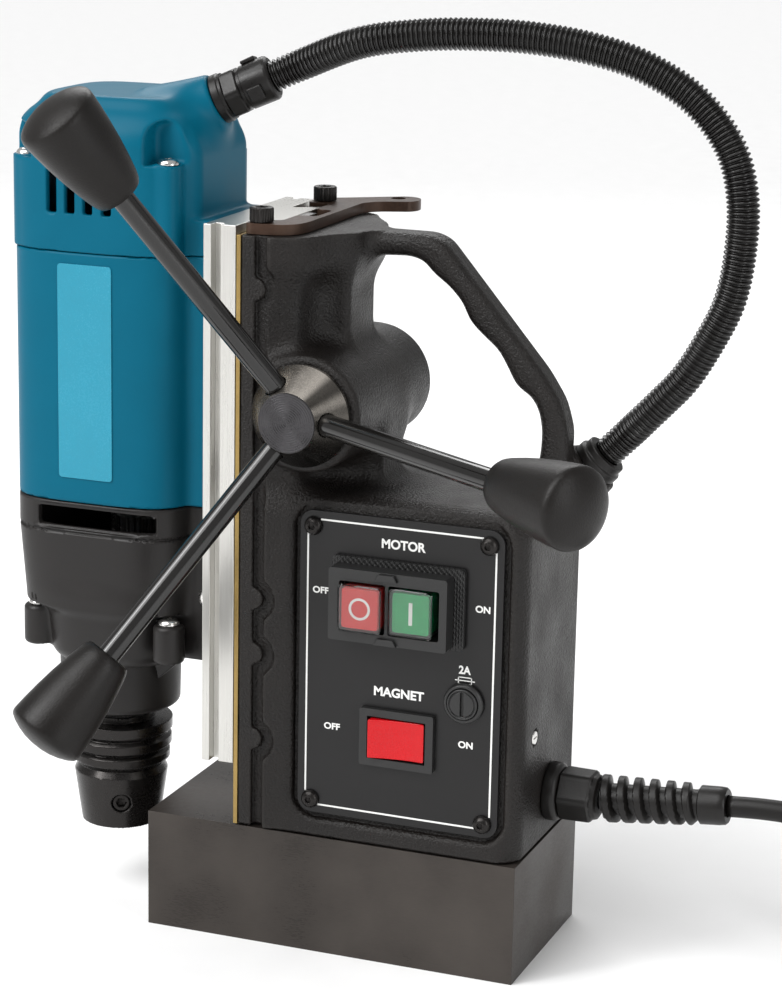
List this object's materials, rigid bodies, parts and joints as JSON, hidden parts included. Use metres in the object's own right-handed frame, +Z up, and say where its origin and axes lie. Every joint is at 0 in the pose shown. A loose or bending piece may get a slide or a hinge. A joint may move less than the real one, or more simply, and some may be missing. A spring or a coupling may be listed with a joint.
{
  "type": "magnetic drill press",
  "caption": "Portable drill press on an electromagnet foot: a geared motor slides on a cast column and is fed by a spoked handle through a rack and pinion.",
  "frame": {"origin": "middle of the magnet's underside", "axes": "+Z up along the column and the spindle, +X towards the mains lead and away from the spindle, -Y towards the feed handle and the control panel"},
  "size_m": [0.4836, 0.2663, 0.3951],
  "materials": {
    "magnet_steel": "ground steel, dark blued, fine scratches",
    "copper_winding": "enamelled copper wire",
    "potting": "poured epoxy",
    "cast_paint": "textured black paint over a casting",
    "brass": "drawn brass",
    "plate_steel": "dark brown oxide, laser-cut edge",
    "black_screws": "black oxide steel",
    "panel": "satin dark grey with a white line",
    "switch_plastic": "moulded black plastic",
    "circuit_board": "solder mask",
    "red_button": "gloss red",
    "green_button": "gloss green",
    "rocker_red": "translucent red",
    "cord_rubber": "matt black rubber",
    "hose_plastic": "corrugated nylon",
    "rail_aluminium": "milled",
    "machined_steel": "turned and ground",
    "gearcase_plastic": "fine textured black moulding",
    "teal_plastic": "semi-gloss teal moulding",
    "laminations": "stacked steel laminations",
    "carbon": "pressed carbon",
    "fan_plastic": "moulded nylon",
    "tool_steel": "black oxide, turned",
    "spoke_steel": "glossy black oxide rod",
    "knob_plastic": "matt black moulding"
  },
  "bodies": {
    "frame": {"magnet_block": "magnet_steel", "magnet_coil": "copper_winding", "magnet_potting": "potting", "column_casting": "cast_paint", "gib_strip_near": "brass", "gib_strip_far": "brass", "top_plate": "plate_steel", "top_plate_screw_1": "black_screws", "top_plate_screw_2": "black_screws", "control_plate": "panel", "panel_screw_1": "black_screws", "panel_screw_2": "black_screws", "panel_screw_3": "black_screws", "panel_screw_4": "black_screws", "motor_switch": "switch_plastic", "magnet_switch": "switch_plastic", "fuse_holder": "switch_plastic", "control_board": "circuit_board", "feed_bush_near": "brass", "feed_bush_far": "brass", "gland_locknut": "switch_plastic", "cord_gland": "switch_plastic", "strain_relief": "cord_rubber", "hose_base_fitting": "switch_plastic", "mains_cord": "cord_rubber", "mains_coil": "cord_rubber", "mains_tail": "cord_rubber", "mains_plug": "cord_rubber", "hose": "hose_plastic"},
    "carriage": {"slide_rail": "rail_aluminium", "feed_rack": "machined_steel", "gear_housing": "gearcase_plastic", "motor_housing": "teal_plastic", "motor_cap": "teal_plastic", "field_stator": "laminations", "upper_bearing": "machined_steel", "spindle_bearing": "machined_steel", "carbon_brush_near": "carbon", "carbon_brush_far": "carbon", "hose_motor_fitting": "switch_plastic"},
    "rotor": {"armature": "laminations", "cooling_fan": "fan_plastic"},
    "layshaft": {"layshaft": "machined_steel"},
    "spindle": {"spindle": "machined_steel", "tool_holder": "tool_steel", "set_screw_1": "black_screws", "set_screw_2": "black_screws"},
    "feed_handle": {"feed_shaft": "machined_steel", "feed_hub": "machined_steel", "feed_spoke_1": "spoke_steel", "feed_spoke_2": "spoke_steel", "feed_spoke_3": "spoke_steel", "feed_knob_1": "knob_plastic", "feed_knob_2": "knob_plastic", "feed_knob_3": "knob_plastic"},
    "off_button": {"off_button": "red_button"},
    "on_button": {"on_button": "green_button"},
    "magnet_rocker": {"magnet_rocker": "rocker_red"},
    "fuse_cap": {"fuse_cap": "switch_plastic"}
  },
  "joints": [
    {"name": "feed_slide", "type": "slide", "parent": "frame", "child": "carriage", "axis": [0, 0, 1], "range_m": [-0.024, 0.115], "deforming": ["hose"]},
    {"name": "feed_turn", "type": "hinge", "parent": "frame", "child": "feed_handle", "pos_m": [-0.0125, -0.045, 0.2353], "axis": [0, 1, 0], "range_deg": [-99, 471]},
    {"name": "rotor_spin", "type": "hinge", "parent": "carriage", "child": "rotor", "pos_m": [-0.1124, 0, 0.2], "axis": [0, 0, 1], "continuous": true},
    {"name": "layshaft_spin", "type": "hinge", "parent": "carriage", "child": "layshaft", "pos_m": [-0.11381, 0.01915, 0.155], "axis": [0, 0, 1], "continuous": true},
    {"name": "spindle_spin", "type": "hinge", "parent": "carriage", "child": "spindle", "pos_m": [-0.1175, 0, 0.1], "axis": [0, 0, 1], "continuous": true},
    {"name": "off_button_press", "type": "slide", "parent": "frame", "child": "off_button", "axis": [0, 1, 0], "range_m": [0, 0.003], "stiffness_N_per_m": 1000, "springref_m": -0.001},
    {"name": "on_button_press", "type": "slide", "parent": "frame", "child": "on_button", "axis": [0, 1, 0], "range_m": [0, 0.003], "stiffness_N_per_m": 1000, "springref_m": -0.001},
    {"name": "magnet_rocker_tilt", "type": "hinge", "parent": "frame", "child": "magnet_rocker", "pos_m": [0.03055, -0.042, 0.1006], "axis": [0, 0, 1], "range_deg": [-14, 0]},
    {"name": "fuse_cap_turn", "type": "hinge", "parent": "frame", "child": "fuse_cap", "pos_m": [0.0594, -0.042, 0.1203], "axis": [0, -1, 0], "range_deg": [0, 80]}
  ],
  "couplings": [
    {"joint": "feed_turn", "follows": "feed_slide", "rad_per_m": 71.429},
    {"joint": "layshaft_spin", "follows": "rotor_spin", "ratio": -0.26316},
    {"joint": "spindle_spin", "follows": "rotor_spin", "ratio": 0.090744}
  ]
}
